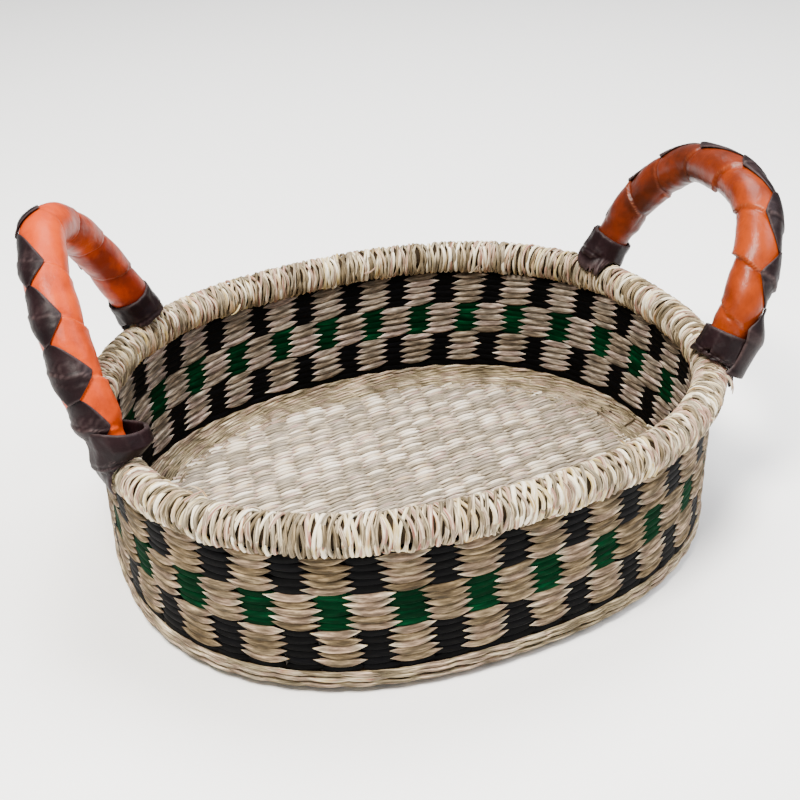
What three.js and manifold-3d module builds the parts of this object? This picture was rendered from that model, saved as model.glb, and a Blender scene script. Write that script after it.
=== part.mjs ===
// An oval twined grass basket with two leather-covered hoop handles that lean out and tilt on the rim.
// Millimetres, +Z up. The origin is the middle of the floor's underside and +X runs along the oval.

import * as THREE from 'three';
import { mergeVertices } from 'three/addons/utils/BufferGeometryUtils.js';
import Module from 'manifold-3d';

// Oval of the wall, measured to the middle of its thickness
const halfLength = 199;
const halfWidth = 165.5;
const ovalPower = 2.31;
const wallThickness = 8;

// Air between pieces that touch
const clearance = 0.3;

// Stakes: flat grass bundles that cross the floor and turn up into the wall at both ends
const stakeEnds = 58;
const crosswiseStakes = 15;
const stakeWidth = 4.6;
const stakeThickness = 2.4;
const stakeBend = 8;

// Floor, with a skin of weave under, between and over the two layers of stakes
const floorSkin = 0.8;

// Rows of the wall, from the floor up
const rowHeight = 5.25;
const rowsPerBand = 5;
const footHeight = 17;
const footRadius = 11;
const footFillet = 3;
const footArcSteps = 3;
const lineStrand = 1.2;

// Rim: a grass roll on the stakes' ends, lashed over
const rimRadius = 11;
const rimCoreRadius = 6.7;
const rimSeat = 1.8;
const rimSides = 8;
const rimRibsPerStake = 2;
const rimRibDepth = 1.3;
const rimRibSlant = 1.5;
const stitchDrop = 2.2;

// Handles: a grass core, an orange leather strip wound round it, a brown lace and two cuffs
const coreRadius = 10;
const sleeveRadius = 13;
const sleeveStep = 0.7;
const sleeveTurns = 9;
const laceThickness = 1.8;
const laceSide = 45;
const laceWidths = [16, 56, 36];
const cuffLeather = 2.6;
const cuffGrip = 26;
const cuffFoot = 12;
const cuffInnerReach = 5;
const cuffOuterReach = 118;
const tiltIn = -15;
const tiltOut = 12;
const hoopSteps = 28;
const cuffSteps = 2;
const hoopSides = 12;
const coreSides = 6;
const heelRings = 8;
const openSteps = 5;
const legStart = 13;
const rightHeight = 112;
const rightFootSpread = 82.5;
const rightShift = -10.7;
const leftHeight = 120;
const leftFootSpread = 91.5;
const leftShift = -56.5;
const leftSkew = -8;

// Each handle's middle is shifted along the rim from the end of the oval, counter-clockwise seen from above.
// Skew is how far the top of the hoop stands off the middle of its feet, along the line through them.
const handles = [
  {
    name: 'right', end: 0, shift: rightShift, footSpread: rightFootSpread,
    height: rightHeight, power: 2.5, lean: 28, skew: 0,
  },
  {
    name: 'left', end: 0.5, shift: leftShift, footSpread: leftFootSpread,
    height: leftHeight, power: 1.8, lean: 20.5, skew: leftSkew,
  },
];

const wasm = await Module();
wasm.setup();

// Materials
const naturalGrass = makeMaterial(0xc9b08f, 0.85);
const paleGrass = makeMaterial(0xdfd2b8, 0.85);
const blackGrass = makeMaterial(0x16161c, 0.7);
const greenGrass = makeMaterial(0x0f5a3a, 0.75);
const orangeLeather = makeMaterial(0xe0662a, 0.45);
const brownLeather = makeMaterial(0x3d2226, 0.5);

function makeMaterial(color, roughness) {
  return new THREE.MeshStandardMaterial({ color, roughness, metalness: 0 });
}

// The oval: points, outward normals and lengths along it

function ovalPoint(angle) {
  const c = Math.cos(angle);
  const s = Math.sin(angle);
  const x = halfLength * Math.sign(c) * Math.abs(c) ** (2 / ovalPower);
  const y = halfWidth * Math.sign(s) * Math.abs(s) ** (2 / ovalPower);
  return new THREE.Vector2(x, y);
}

function ovalNormal(point) {
  const nx = Math.sign(point.x) * Math.abs(point.x / halfLength) ** (ovalPower - 1) / halfLength;
  const ny = Math.sign(point.y) * Math.abs(point.y / halfWidth) ** (ovalPower - 1) / halfWidth;
  return new THREE.Vector2(nx, ny).normalize();
}

const quarterSteps = 720;
const ovalTable = measureOval();
const ovalLength = ovalTable.at(-1).length;

function measureOval() {
  const table = [];
  let length = 0;
  for (let i = 0; i <= 4 * quarterSteps; i += 1) {
    const point = ovalPoint((i / quarterSteps) * (Math.PI / 2));
    if (i > 0) {
      length += point.distanceTo(table.at(-1).point);
    }
    table.push({ point, length });
  }
  return table;
}

function ovalAt(length) {
  const wanted = THREE.MathUtils.euclideanModulo(length, ovalLength);
  const next = ovalTable.findIndex((entry, i) => i > 0 && entry.length >= wanted);
  const from = ovalTable[next - 1];
  const to = ovalTable[next];
  const share = (wanted - from.length) / (to.length - from.length);
  const point = from.point.clone().lerp(to.point, share);
  return { point, normal: ovalNormal(point) };
}

const stakePitch = ovalLength / stakeEnds;
const stations = Array.from({ length: stakeEnds }, (_, i) => ovalAt(i * stakePitch));

function offsetPoint(station, outward) {
  return station.point.clone().addScaledVector(station.normal, outward);
}

function offsetOutline(outward) {
  return stations.map((station) => offsetPoint(station, outward));
}

// A point on a ring of straight spans from stake to stake
function ringPoint(length, outward) {
  const place = THREE.MathUtils.euclideanModulo(length, ovalLength) / stakePitch;
  const i = Math.floor(place);
  const here = offsetPoint(stations[i % stakeEnds], outward);
  return here.lerp(offsetPoint(stations[(i + 1) % stakeEnds], outward), place - i);
}

// Solids

function toSolid(geometry) {
  const bare = geometry.clone();
  bare.deleteAttribute('normal');
  bare.deleteAttribute('uv');
  const merged = mergeVertices(bare, 1e-4);
  const vertProperties = Float32Array.from(merged.attributes.position.array);
  const triVerts = Uint32Array.from(merged.index.array);
  return new wasm.Manifold(new wasm.Mesh({ numProp: 3, vertProperties, triVerts }));
}

function toGeometry(solid) {
  const mesh = solid.getMesh();
  const geometry = new THREE.BufferGeometry();
  geometry.setAttribute('position', new THREE.BufferAttribute(mesh.vertProperties, 3));
  geometry.setIndex(new THREE.BufferAttribute(mesh.triVerts, 1));
  geometry.computeVertexNormals();
  return geometry;
}

function signedVolume(points, faces) {
  const volumes = faces.map(([a, b, c]) => points[a].dot(points[b].clone().cross(points[c])));
  return volumes.reduce((sum, volume) => sum + volume, 0);
}

// Joins sections of equal point counts into one closed solid, as a loop or with a cap at each end
function loft(sections, isLoop) {
  const sides = sections[0].length;
  const points = sections.flat();
  const faces = [];
  const spans = isLoop ? sections.length : sections.length - 1;
  for (let i = 0; i < spans; i += 1) {
    const here = i * sides;
    const there = ((i + 1) % sections.length) * sides;
    for (let j = 0; j < sides; j += 1) {
      const k = (j + 1) % sides;
      faces.push([here + j, there + j, there + k]);
      faces.push([here + j, there + k, here + k]);
    }
  }
  if (!isLoop) {
    const last = (sections.length - 1) * sides;
    for (const [a, b, c] of capFaces(sections[0])) {
      faces.push([a, b, c]);
    }
    for (const [a, b, c] of capFaces(sections.at(-1))) {
      faces.push([last + a, last + c, last + b]);
    }
  }
  return closedMesh(points, faces);
}

function closedMesh(points, faces) {
  if (signedVolume(points, faces) < 0) {
    faces.forEach((face) => face.reverse());
  }
  const geometry = new THREE.BufferGeometry().setFromPoints(points);
  geometry.setIndex(faces.flat());
  geometry.computeVertexNormals();
  return geometry;
}

// Splits a flat section, seen along its own normal, into triangles that turn as its points do
function capFaces(section) {
  const normal = new THREE.Vector3();
  section.forEach((point, i) => {
    normal.add(point.clone().cross(section[(i + 1) % section.length]));
  });
  normal.normalize();
  const across = section[1].clone().sub(section[0]).normalize();
  const up = normal.clone().cross(across);
  const flat = section.map((point) => new THREE.Vector2(point.dot(across), point.dot(up)));
  return THREE.ShapeUtils.triangulateShape(flat, []);
}

// A loop round the oval whose section is a list of [outward, height] points
function ovalRing(profile) {
  const sections = stations.map((station) =>
    profile.map(([outward, height]) => {
      const point = offsetPoint(station, outward);
      return new THREE.Vector3(point.x, point.y, height);
    }),
  );
  return loft(sections, true);
}

// Stakes

const stakes = listStakes();

function listStakes() {
  const list = [];
  const upperEnds = stakeEnds / 2;
  const firstCrosswise = (upperEnds - crosswiseStakes) / 2;
  for (let i = 0; i < upperEnds; i += 1) {
    const { point } = ovalAt((i + 0.5) * stakePitch);
    if (i < firstCrosswise) {
      list.push({ isCrosswise: false, at: point.y, halfSpan: point.x });
      list.push({ isCrosswise: false, at: -point.y, halfSpan: point.x });
    } else if (i < firstCrosswise + crosswiseStakes) {
      list.push({ isCrosswise: true, at: point.x, halfSpan: point.y });
    }
  }
  return list.sort((a, b) => a.at - b.at);
}

const tunnelHeight = stakeThickness + 2 * clearance;
const floorThickness = 3 * floorSkin + 2 * tunnelHeight;
const lowerLayer = floorSkin + tunnelHeight / 2;
const upperLayer = lowerLayer + tunnelHeight + floorSkin;

// Heights of the rows and of the rim
const lowerLineBottom = footHeight;
const lowerBandBottom = lowerLineBottom + rowHeight;
const bandHeight = rowsPerBand * rowHeight;
const middleBandBottom = lowerBandBottom + bandHeight;
const upperBandBottom = middleBandBottom + bandHeight;
const upperLineBottom = upperBandBottom + bandHeight;
const wallTop = upperLineBottom + rowHeight;
const slotHalfWidth = wallThickness / 2 + clearance;
const rimHeight = wallTop - rimSeat + Math.sqrt(rimRadius ** 2 - slotHalfWidth ** 2);
const rimCoreFlat = rimCoreRadius * Math.sin(Math.PI / 3);
const stakeTop = rimHeight - rimCoreFlat - clearance;

// Outline of a stake as a wide U, grown by the clearance where it is to be cut out of the weave
function stakeGeometry(stake, grow, top) {
  const half = stakeThickness / 2 + grow;
  const mitre = half * Math.tan(Math.PI / 8);
  const layer = stake.isCrosswise ? lowerLayer : upperLayer;
  const corner = layer + stakeBend;
  const span = stake.halfSpan;
  const outer = [
    [span + half, top],
    [span + half, corner - mitre],
    [span - stakeBend + mitre, layer - half],
  ];
  const inner = [
    [span - half, top],
    [span - half, corner + mitre],
    [span - stakeBend - mitre, layer + half],
  ];
  const mirrored = ([x, z]) => [-x, z];
  const outline = [
    ...outer,
    ...outer.map(mirrored).reverse(),
    ...inner.map(mirrored),
    ...[...inner].reverse(),
  ];
  const shape = new THREE.Shape(outline.map(([x, z]) => new THREE.Vector2(x, z)));
  const depth = stakeWidth + 2 * grow;
  const geometry = new THREE.ExtrudeGeometry(shape, { depth, bevelEnabled: false });
  return geometry.translate(0, 0, -depth / 2);
}

function stakeMatrix(stake) {
  const along = new THREE.Vector3(stake.isCrosswise ? 0 : 1, stake.isCrosswise ? 1 : 0, 0);
  const up = new THREE.Vector3(0, 0, 1);
  const across = along.clone().cross(up);
  const matrix = new THREE.Matrix4().makeBasis(along, up, across);
  const x = stake.isCrosswise ? stake.at : 0;
  const y = stake.isCrosswise ? 0 : stake.at;
  return matrix.setPosition(x, y, 0);
}

function makeStakes() {
  const group = new THREE.Group();
  const counts = { cross: 0, long: 0 };
  for (const stake of stakes) {
    const kind = stake.isCrosswise ? 'cross' : 'long';
    counts[kind] += 1;
    const mesh = new THREE.Mesh(stakeGeometry(stake, 0, stakeTop), naturalGrass.clone());
    mesh.name = `stake_${kind}_${String(counts[kind]).padStart(2, '0')}`;
    mesh.applyMatrix4(stakeMatrix(stake));
    group.add(mesh);
  }
  return group;
}

const stakeTunnels = wasm.Manifold.union(
  stakes.map((stake) => {
    const geometry = stakeGeometry(stake, clearance, wallTop);
    return toSolid(geometry.applyMatrix4(stakeMatrix(stake)));
  }),
);

// Floor and foot, with tunnels for the stakes

function makeFloor() {
  const outline = offsetOutline(wallThickness / 2 - footRadius - clearance);
  const shape = new THREE.Shape(outline);
  const plate = new THREE.ExtrudeGeometry(shape, { depth: floorThickness, bevelEnabled: false });
  return toGeometry(toSolid(plate).subtract(stakeTunnels));
}

function makeFoot() {
  const face = wallThickness / 2;
  const footInside = face - footRadius;
  const profile = [[face, footHeight]];
  for (let i = 0; i <= footArcSteps; i += 1) {
    const angle = (i / footArcSteps) * (Math.PI / 2);
    const outward = footInside + footRadius * Math.cos(angle);
    profile.push([outward, footRadius * (1 - Math.sin(angle))]);
  }
  profile.push([footInside, floorThickness]);
  profile.push([-face, floorThickness + footFillet]);
  profile.push([-face, footHeight]);
  return toGeometry(toSolid(ovalRing(profile)).subtract(stakeTunnels));
}

// Bands of the wall

function stakeHoles() {
  const halfWide = stakeWidth / 2 + clearance;
  const halfThick = stakeThickness / 2 + clearance;
  const holes = [];
  for (const stake of stakes) {
    const halfX = stake.isCrosswise ? halfWide : halfThick;
    const halfY = stake.isCrosswise ? halfThick : halfWide;
    for (const side of [-1, 1]) {
      const x = stake.isCrosswise ? stake.at : side * stake.halfSpan;
      const y = stake.isCrosswise ? side * stake.halfSpan : stake.at;
      const corners = [[-halfX, -halfY], [-halfX, halfY], [halfX, halfY], [halfX, -halfY]];
      holes.push(new THREE.Path(corners.map(([dx, dy]) => new THREE.Vector2(x + dx, y + dy))));
    }
  }
  return holes;
}

function makeBand(bottom, height) {
  const shape = new THREE.Shape(offsetOutline(wallThickness / 2));
  shape.holes.push(new THREE.Path(offsetOutline(-wallThickness / 2)), ...stakeHoles());
  const depth = height - clearance;
  const geometry = new THREE.ExtrudeGeometry(shape, { depth, bevelEnabled: false });
  return geometry.translate(0, 0, bottom + clearance);
}

// One row of black: a strand outside the stakes and a strand inside them, let in where a stake presses it
function makeStrand(bottom, side) {
  const face = (side * wallThickness) / 2;
  const inner = face - side * lineStrand;
  const low = bottom + clearance;
  const high = bottom + rowHeight;
  const strand = ovalRing([[face, low], [face, high], [inner, high], [inner, low]]);
  return toGeometry(toSolid(strand).subtract(stakeTunnels));
}

// Rim

function makeRimCore() {
  const profile = [];
  for (let i = 0; i < 6; i += 1) {
    const angle = (i * Math.PI) / 3;
    profile.push([rimCoreRadius * Math.cos(angle), rimHeight + rimCoreRadius * Math.sin(angle)]);
  }
  return ovalRing(profile);
}

// Where one section of the lashing runs: a rib stands up from the roll and its stitch reaches down the wall
function ribSection(length, isCrest) {
  const lipRadius = isCrest ? rimRadius + stitchDrop : rimRadius;
  const lipAngle = Math.acos(slotHalfWidth / lipRadius);
  const radius = isCrest ? rimRadius : rimRadius - rimRibDepth;
  const section = [];
  for (let i = 0; i <= rimSides; i += 1) {
    const angle = -lipAngle + (i / rimSides) * (Math.PI + 2 * lipAngle);
    const isLip = i === 0 || i === rimSides;
    const reach = isLip ? lipRadius : radius;
    const point = ringPoint(length + rimRibSlant * Math.cos(angle), reach * Math.cos(angle));
    section.push(new THREE.Vector3(point.x, point.y, rimHeight + reach * Math.sin(angle)));
  }
  return section;
}

// The lashing goes round the roll and takes in the top of the wall through the slot below. Its ribs have
// several sections for each section of the plain bore.
function makeRimWrap() {
  const bore = rimCoreRadius + clearance / Math.cos(Math.PI / 6);
  const boreSlope = Math.tan(Math.PI / 3);
  const slotTop = rimHeight - (bore - slotHalfWidth) * boreSlope;
  const boreProfile = [
    [-slotHalfWidth, slotTop],
    [-bore, rimHeight],
    [-bore / 2, rimHeight + (bore / 2) * boreSlope],
    [bore / 2, rimHeight + (bore / 2) * boreSlope],
    [bore, rimHeight],
    [slotHalfWidth, slotTop],
  ];
  const steps = 2 * rimRibsPerStake;
  const ribs = Array.from({ length: steps * stakeEnds }, (_, i) =>
    ribSection((i * stakePitch) / steps, i % 2 === 0),
  );
  const inside = stations.map((station) =>
    boreProfile.map(([outward, height]) => {
      const point = offsetPoint(station, outward);
      return new THREE.Vector3(point.x, point.y, height);
    }),
  );
  return joinRibs(ribs, inside, steps);
}

function joinRibs(ribs, inside, steps) {
  const across = ribs[0].length;
  const deep = inside[0].length;
  const rib = (i, j) => (i % ribs.length) * across + j;
  const bore = (i, j) => ribs.length * across + (i % inside.length) * deep + j;
  const faces = [];
  const addGrid = (at, count, sides) => {
    for (let i = 0; i < count; i += 1) {
      for (let j = 0; j < sides; j += 1) {
        faces.push([at(i, j), at(i + 1, j), at(i + 1, j + 1)]);
        faces.push([at(i, j), at(i + 1, j + 1), at(i, j + 1)]);
      }
    }
  };
  addGrid(rib, ribs.length, across - 1);
  addGrid(bore, inside.length, deep - 1);
  for (let i = 0; i < inside.length; i += 1) {
    const middle = (i + 0.5) * steps;
    faces.push([rib(middle, across - 1), bore(i + 1, 0), bore(i, 0)]);
    faces.push([bore(i, deep - 1), bore(i + 1, deep - 1), rib(middle, 0)]);
    for (let k = i * steps; k < (i + 1) * steps; k += 1) {
      const near = k < middle ? i : i + 1;
      faces.push([rib(k, across - 1), rib(k + 1, across - 1), bore(near, 0)]);
      faces.push([bore(near, deep - 1), rib(k + 1, 0), rib(k, 0)]);
    }
  }
  return closedMesh([...ribs.flat(), ...inside.flat()], faces);
}

// Handles. Each is drawn in its own frame: the middle of its two feet on the rim's centre line is the
// origin, local Y is the line through the feet that it tilts on, and local X points out of the basket.

function handleFrame(handle) {
  const middle = handle.end * ovalLength + handle.shift;
  const first = ovalAt(middle - handle.footSpread);
  const second = ovalAt(middle + handle.footSpread);
  const chord = second.point.clone().sub(first.point);
  const along = chord.clone().normalize();
  const turn = Math.atan2(-along.x, along.y);
  const centre = first.point.clone().add(second.point).divideScalar(2);
  const feet = [first, second].map((station, i) => ({
    side: i === 0 ? -1 : 1,
    isFront: station.point.y < centre.y,
    rimTurn: Math.atan2(station.normal.y, station.normal.x) - turn,
  }));
  return { ...handle, centre, turn, halfSpan: chord.length() / 2, feet };
}

// Centre, outward normal in the hoop's plane and direction away from the basket, at even steps
function hoopSections(frame) {
  const lean = THREE.MathUtils.degToRad(frame.lean);
  const path = hoopPath(frame);
  const lengths = [0];
  path.slice(1).forEach((point, i) => lengths.push(lengths[i] + point.distanceTo(path[i])));
  const flat = [];
  for (let i = 0; i <= hoopSteps; i += 1) {
    const wanted = (i / hoopSteps) * lengths.at(-1);
    const next = Math.max(1, lengths.findIndex((length) => length >= wanted - 1e-9));
    const share = (wanted - lengths[next - 1]) / (lengths[next] - lengths[next - 1]);
    flat.push(path[next - 1].clone().lerp(path[next], share));
  }
  const inSpace = (across, rise) =>
    new THREE.Vector3(rise * Math.sin(lean), across, rise * Math.cos(lean));
  return flat.map((point, i) => {
    const before = flat[Math.max(0, i - 1)];
    const after = flat[Math.min(hoopSteps, i + 1)];
    const isEnd = i === 0 || i === hoopSteps;
    const upright = new THREE.Vector2(0, i === 0 ? 1 : -1);
    const run = isEnd ? upright : after.clone().sub(before).normalize();
    return {
      share: i / hoopSteps,
      centre: inSpace(point.x, point.y),
      run: inSpace(run.x, run.y),
      outer: inSpace(-run.y, run.x),
      away: new THREE.Vector3(Math.cos(lean), 0, -Math.sin(lean)),
    };
  });
}

// The hoop's line in its own plane, from just above the rim at one foot to the same height at the other
function hoopPath(frame) {
  const path = [];
  const fineHoopSteps = 4 * quarterSteps;
  for (let i = 0; i <= fineHoopSteps; i += 1) {
    const angle = (i / fineHoopSteps) * Math.PI;
    const c = Math.cos(angle);
    const riseShare = Math.abs(Math.sin(angle)) ** (2 / frame.power);
    const spread = frame.halfSpan * Math.sign(c) * Math.abs(c) ** (2 / frame.power);
    const across = frame.skew * riseShare - spread;
    const rise = frame.height * riseShare;
    if (rise >= legStart) {
      path.push(new THREE.Vector2(across, rise));
    }
  }
  return path;
}

function moved(section, distance) {
  return { ...section, centre: section.centre.clone().addScaledVector(section.run, distance) };
}

// The same sections, carried straight on past both ends
function carriedOn(sections, distance) {
  return [moved(sections[0], -distance), ...sections, moved(sections.at(-1), distance)];
}

function aroundHoop(section, angle, radius) {
  const point = section.centre.clone();
  point.addScaledVector(section.outer, radius * Math.cos(angle));
  point.addScaledVector(section.away, radius * Math.sin(angle));
  return point;
}

function hoopTube(sections, sides, radiusAt) {
  const rings = sections.map((section) =>
    Array.from({ length: sides }, (_, i) => {
      const angle = (i / sides) * 2 * Math.PI;
      return aroundHoop(section, angle, radiusAt(section, angle));
    }),
  );
  return loft(rings, false);
}

const sleeveOutside = sleeveRadius + sleeveStep;
const overSleeve = sleeveOutside + clearance;

function makeCore(sections, rimSpace) {
  const core = hoopTube(sections, coreSides, () => coreRadius);
  return toGeometry(toSolid(core).subtract(rimSpace));
}

// The strip of leather is wound round the core, and each turn stands a little over the one before
function makeSleeve(sections, rimSpace) {
  const wound = hoopTube(sections, hoopSides, (section, angle) => {
    const turns = sleeveTurns * section.share + angle / (2 * Math.PI);
    return sleeveRadius + sleeveStep * (turns - Math.floor(turns));
  });
  const boreRadius = coreRadius + clearance / Math.cos(Math.PI / coreSides);
  const bore = hoopTube(carriedOn(sections, 1), coreSides, () => boreRadius);
  return toGeometry(toSolid(wound).subtract(toSolid(bore)).subtract(rimSpace));
}

// The lace runs along the outside of the hoop, turned towards its outer face, and its edges step in and out
function makeLace(sections, sleeveSpace) {
  const laced = sections.slice(cuffSteps, hoopSteps - cuffSteps + 1);
  const side = THREE.MathUtils.degToRad(laceSide);
  const outside = overSleeve + laceThickness;
  const rings = laced.map((section, i) => {
    const half = THREE.MathUtils.degToRad(laceWidths[i % laceWidths.length]);
    const shares = [-1, -0.5, 0, 0.5, 1];
    const over = shares.map((share) => aroundHoop(section, side + share * half, outside));
    const under = shares.map((share) => aroundHoop(section, side + share * half, coreRadius));
    return [...over, ...under.reverse()];
  });
  return toGeometry(toSolid(loft(rings, false)).subtract(sleeveSpace));
}

// A bore with flats that just clear the rim
const rimBore = (rimRadius + clearance) / Math.cos(Math.PI / hoopSides);

// A cylinder along the rim at a foot, in the handle's frame
function rimCylinder(frame, foot, radius, length) {
  const geometry = new THREE.CylinderGeometry(radius, radius, length, hoopSides);
  geometry.rotateZ(foot.rimTurn);
  return geometry.translate(0, foot.side * frame.halfSpan, 0);
}

// The space that the rim takes at a foot, at rest and at both limits of the handle's tilt
function rimSpaceAt(frame, foot) {
  const cylinders = [tiltIn, 0, tiltOut].map((tilt) => {
    const cylinder = rimCylinder(frame, foot, rimBore, 3 * cuffGrip);
    return toSolid(cylinder.rotateY(-THREE.MathUtils.degToRad(tilt)));
  });
  return wasm.Manifold.union(cylinders);
}

// The space round the rim at a foot that its saddle leaves open, inside the basket and below
function openSpaceAt(frame, foot) {
  const deep = 3 * rimRadius;
  const first = THREE.MathUtils.degToRad(cuffOuterReach);
  const last = 2 * Math.PI - THREE.MathUtils.degToRad(cuffInnerReach);
  const corners = [new THREE.Vector2(0, 0)];
  for (let i = 0; i <= openSteps; i += 1) {
    const angle = first + (i / openSteps) * (last - first);
    corners.push(new THREE.Vector2(deep * Math.sin(angle), deep * Math.cos(angle)));
  }
  const depth = 2 * cuffGrip;
  const shape = new THREE.Shape(corners);
  const geometry = new THREE.ExtrudeGeometry(shape, { depth, bevelEnabled: false });
  geometry.translate(0, 0, -depth / 2);
  geometry.rotateX(Math.PI / 2);
  geometry.rotateZ(foot.rimTurn);
  return geometry.translate(0, foot.side * frame.halfSpan, 0);
}

// A leather cuff: a collar round the leg, and a rounded heel and a saddle on the rim, which it turns on
function makeCuff(frame, foot, sections, sleeveSpace) {
  const collarRadius = overSleeve + cuffLeather;
  const leg = foot.side < 0 ? sections.slice(0, cuffSteps + 1) : sections.slice(-cuffSteps - 1);
  const skirt = legStart - cuffFoot;
  if (foot.side < 0) {
    leg[0] = moved(leg[0], -skirt);
    leg[cuffSteps] = moved(leg[cuffSteps], -clearance);
  } else {
    leg[cuffSteps] = moved(leg[cuffSteps], skirt);
    leg[0] = moved(leg[0], clearance);
  }
  const ankle = (foot.side < 0 ? leg[0] : leg[cuffSteps]).centre;
  const ball = new THREE.SphereGeometry(overSleeve + cuffLeather / 2, hoopSides, heelRings);
  const heel = toSolid(ball.translate(ankle.x, ankle.y, ankle.z));
  const saddle = toSolid(rimCylinder(frame, foot, rimBore + cuffLeather, cuffGrip));
  const footing = saddle.add(heel).subtract(toSolid(openSpaceAt(frame, foot)));
  const collar = toSolid(hoopTube(leg, hoopSides, () => collarRadius));
  const open = rimSpaceAt(frame, foot).add(sleeveSpace);
  return toGeometry(collar.add(footing).subtract(open));
}

function makeHandle(handle) {
  const frame = handleFrame(handle);
  const sections = hoopSections(frame);
  const sleeveSpace = toSolid(hoopTube(carriedOn(sections, 1), hoopSides, () => overSleeve));
  const rimSpace = wasm.Manifold.union(frame.feet.map((foot) => rimSpaceAt(frame, foot)));
  const group = new THREE.Group();
  group.position.set(frame.centre.x, frame.centre.y, rimHeight);
  group.rotation.z = frame.turn;
  const add = (name, geometry, material) => {
    const mesh = new THREE.Mesh(geometry, material.clone());
    mesh.name = `${handle.name}_${name}`;
    group.add(mesh);
  };
  add('handle_core', makeCore(sections, rimSpace), naturalGrass);
  add('handle_sleeve', makeSleeve(sections, rimSpace), orangeLeather);
  add('handle_lace', makeLace(sections, sleeveSpace), brownLeather);
  for (const foot of frame.feet) {
    const geometry = makeCuff(frame, foot, sections, sleeveSpace);
    add(foot.isFront ? 'cuff_front' : 'cuff_rear', geometry, brownLeather);
  }
  return group;
}

// The whole basket

function makeWall() {
  const group = new THREE.Group();
  const add = (name, geometry, material) => {
    const mesh = new THREE.Mesh(geometry, material.clone());
    mesh.name = name;
    group.add(mesh);
  };
  add('floor_weave', makeFloor(), naturalGrass);
  add('foot_band', makeFoot(), naturalGrass);
  add('lower_line_outer', makeStrand(lowerLineBottom, 1), blackGrass);
  add('lower_line_inner', makeStrand(lowerLineBottom, -1), blackGrass);
  add('lower_check_band', makeBand(lowerBandBottom, bandHeight), blackGrass);
  add('middle_check_band', makeBand(middleBandBottom, bandHeight), greenGrass);
  add('upper_check_band', makeBand(upperBandBottom, bandHeight), blackGrass);
  add('upper_line_outer', makeStrand(upperLineBottom, 1), blackGrass);
  add('upper_line_inner', makeStrand(upperLineBottom, -1), blackGrass);
  add('rim_core', makeRimCore(), naturalGrass);
  add('rim_wrap', makeRimWrap(), paleGrass);
  return group;
}

const basket = new THREE.Group();
basket.name = 'storage_basket';
basket.add(makeWall(), makeStakes());
for (const handle of handles) {
  basket.add(makeHandle(handle));
}

export default basket;
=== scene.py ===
import math

import bmesh
import bpy
import numpy as np
from mathutils import Matrix, Vector


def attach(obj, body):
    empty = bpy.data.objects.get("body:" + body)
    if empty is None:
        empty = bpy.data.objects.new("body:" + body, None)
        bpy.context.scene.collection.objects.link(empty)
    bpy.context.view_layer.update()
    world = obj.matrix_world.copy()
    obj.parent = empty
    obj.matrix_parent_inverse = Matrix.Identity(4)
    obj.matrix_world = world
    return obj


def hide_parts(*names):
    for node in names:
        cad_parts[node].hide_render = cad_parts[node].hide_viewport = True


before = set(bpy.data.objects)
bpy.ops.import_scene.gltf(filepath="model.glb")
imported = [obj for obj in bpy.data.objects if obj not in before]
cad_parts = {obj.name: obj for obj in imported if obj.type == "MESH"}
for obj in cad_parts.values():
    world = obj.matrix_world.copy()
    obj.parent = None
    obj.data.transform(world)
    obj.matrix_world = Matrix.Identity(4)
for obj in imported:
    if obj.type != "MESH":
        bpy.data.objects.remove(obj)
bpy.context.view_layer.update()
mm = 0.001


def addObject(name, data):
    made = bpy.data.objects.new(name, data)
    bpy.context.scene.collection.objects.link(made)
    return made


def meshFrom(bm, name):
    mesh = bpy.data.meshes.new(name)
    bm.to_mesh(mesh)
    bm.free()
    return mesh


# Camera

cameraSettings = {"azimuth": -23.17, "elevation": 31.12, "roll": -1.71, "distance": 0.8778,
                  "target": (0.0153, 0.0477, 0.060), "lens": 54.89, "sensor": 36.0}


def makeCamera(c):
    a, e, r = (math.radians(c[key]) for key in ("azimuth", "elevation", "roll"))
    back = Vector((math.sin(a) * math.cos(e), -math.cos(a) * math.cos(e), math.sin(e)))
    level = (-back).cross(Vector((0, 0, 1))).normalized()
    upright = level.cross(-back)
    right = math.cos(r) * level + math.sin(r) * upright
    up = -math.sin(r) * level + math.cos(r) * upright
    data = bpy.data.cameras.new("camera")
    data.lens = c["lens"]
    data.sensor_width = c["sensor"]
    camera = addObject("camera", data)
    turned = Matrix((right, up, back)).transposed().to_4x4()
    camera.matrix_world = Matrix.Translation(Vector(c["target"]) + back * c["distance"]) @ turned
    bpy.context.scene.camera = camera


makeCamera(cameraSettings)
print("camera set")

# Materials


def linearColour(text):
    values = [int(text[i:i + 2], 16) / 255 for i in (1, 3, 5)]
    return [v / 12.92 if v <= 0.04045 else ((v + 0.055) / 1.055) ** 2.4 for v in values] + [1.0]


# An input can be a value, a socket, or a node, which is linked by its first output
def addNode(tree, kind, settings=None, inputs=None):
    node = tree.nodes.new(kind)
    for key, value in (settings or {}).items():
        setattr(node, key, value)
    for key, value in (inputs or {}).items():
        if isinstance(value, bpy.types.Node):
            value = value.outputs[0]
        if isinstance(value, bpy.types.NodeSocket):
            tree.links.new(value, node.inputs[key])
        else:
            node.inputs[key].default_value = value
    return node


def setRamp(node, stops):
    ramp = node.color_ramp
    while len(ramp.elements) < len(stops):
        ramp.elements.new(0.5)
    for element, (place, colour) in zip(ramp.elements, stops):
        element.position = place
        element.color = linearColour(colour)


def startMaterial(name, surface):
    material = bpy.data.materials.new(name)
    material.use_nodes = True
    tree = material.node_tree
    shader = tree.nodes["Principled BSDF"]
    for key, value in surface.items():
        shader.inputs[key].default_value = value
    return material, tree, shader


greyStreaks = [(0.3, "#120E0A"), (0.43, "#57534D"), (0.54, "#94908A"), (0.68, "#F0ECE4")]


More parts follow.
